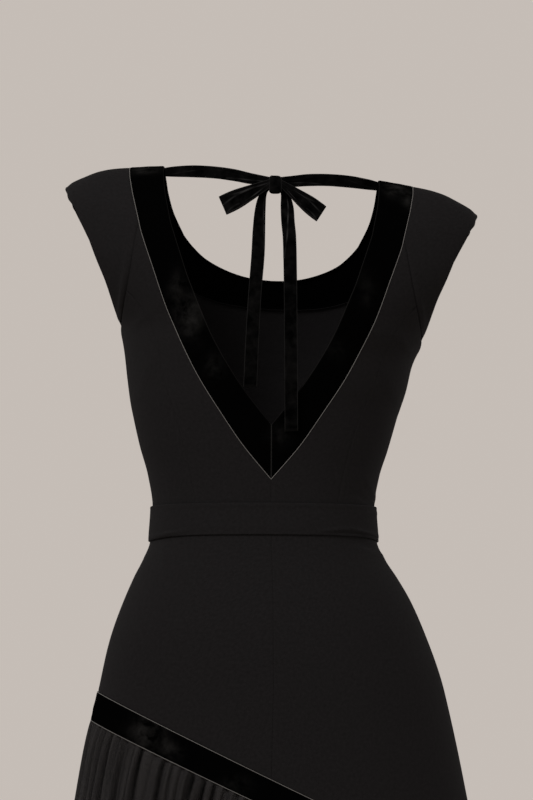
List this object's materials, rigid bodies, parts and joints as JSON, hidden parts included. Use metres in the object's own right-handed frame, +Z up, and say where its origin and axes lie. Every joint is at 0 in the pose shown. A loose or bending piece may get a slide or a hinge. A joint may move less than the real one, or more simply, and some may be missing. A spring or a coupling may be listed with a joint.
{
  "type": "latin dance bodysuit with attached skirt",
  "caption": "Worn form of a black latin dance bodysuit: deep V back with velvet band and bow tie, cap sleeves, waistband, skirt with diagonal velvet band and gathered flounce.",
  "frame": {"origin": "midway between the tops of the shoulders, where a wearer carries the garment", "axes": "+Z up, +Y towards the garment's front, so the open back faces -Y and +X is to the right of someone who looks at the back"},
  "size_m": [0.5047, 0.3226, 0.992],
  "materials": {
    "jersey": "matte stretch jersey",
    "velvet": "velvet pile",
    "ribbon": "velvet ribbon",
    "chiffon": "fine matte chiffon"
  },
  "bodies": {
    "root": {"back_centre_left": "jersey", "back_centre_right": "jersey", "back_side_left": "jersey", "back_side_right": "jersey", "front": "jersey", "cap_sleeve_left": "jersey", "cap_sleeve_right": "jersey", "neck_band_back_left": "velvet", "neck_band_back_right": "velvet", "neck_band_front": "velvet", "waistband": "jersey", "skirt_back_left": "jersey", "skirt_back_right": "jersey", "skirt_front": "jersey", "skirt_band": "velvet", "flounce_back": "chiffon", "flounce_front": "chiffon", "brief_back": "jersey", "brief_front": "jersey", "brief_gusset": "jersey", "tie_strap_left": "ribbon", "tie_strap_right": "ribbon", "bow_knot": "ribbon", "bow_loop_left": "ribbon", "bow_loop_right": "ribbon", "bow_tail_left": "ribbon", "bow_tail_right": "ribbon"}
  },
  "joints": []
}
